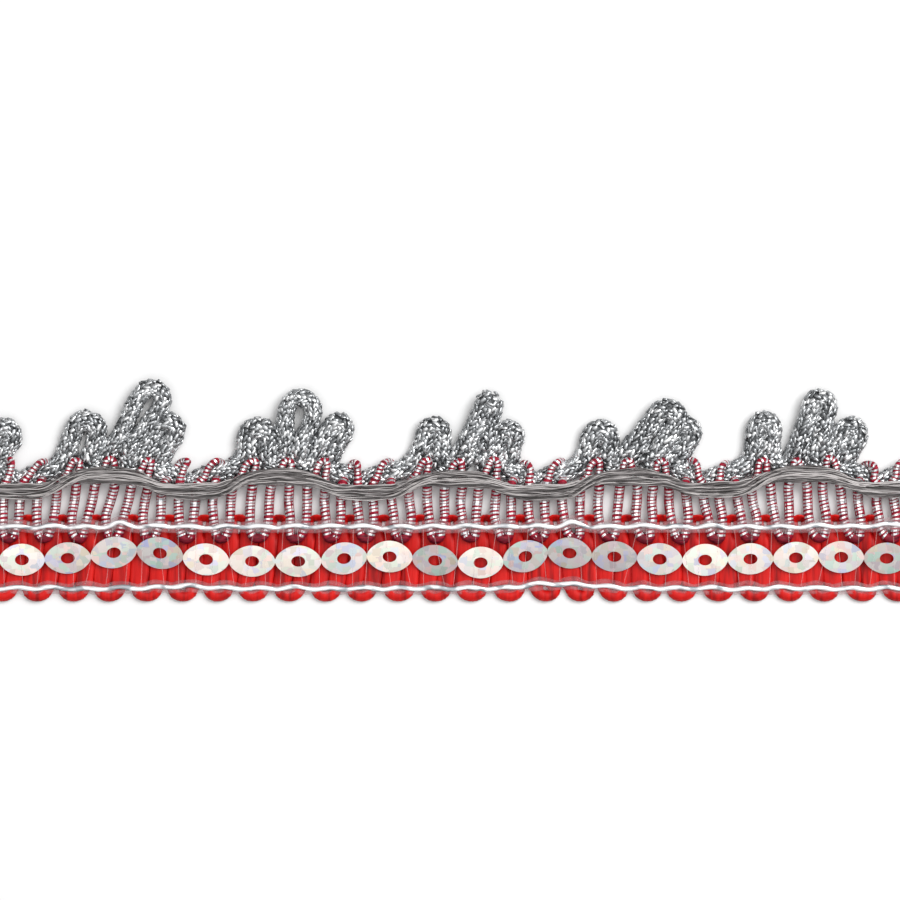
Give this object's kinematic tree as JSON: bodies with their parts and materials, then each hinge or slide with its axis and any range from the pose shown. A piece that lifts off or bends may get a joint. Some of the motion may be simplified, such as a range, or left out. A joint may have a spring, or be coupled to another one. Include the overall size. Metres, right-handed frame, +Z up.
{
  "type": "sequin braid trim",
  "caption": "Cut length of sequin braid trim lying flat: looped red ribbon with joined oval sequins, striped gimp hairpins, a grey thread wave and silver cord petals.",
  "frame": {"origin": "on the table, under the middle of the trim's footprint", "axes": "+X along the trim, +Y across it towards the petals, +Z up out of its face"},
  "size_m": [0.1644, 0.0292, 0.003],
  "materials": {
    "red_ribbon": "glossy red flat ribbon yarn",
    "gimp_cord": "crimson thread wound with silver tinsel in fine rings",
    "grey_skein": "grey metallic threads laid side by side",
    "binding_line": "bright silver flat metallic yarn",
    "silver_chain": "knitted glittering silver metallic yarn",
    "sequin_foil": "pearly iridescent foil"
  },
  "bodies": {
    "root": {"red_ribbon": "red_ribbon", "gimp_cord": "gimp_cord", "grey_skein": "grey_skein", "upper_binding_line": "binding_line", "lower_binding_line": "binding_line", "silver_chain": "silver_chain", "sequin_strip": "sequin_foil"}
  },
  "joints": []
}
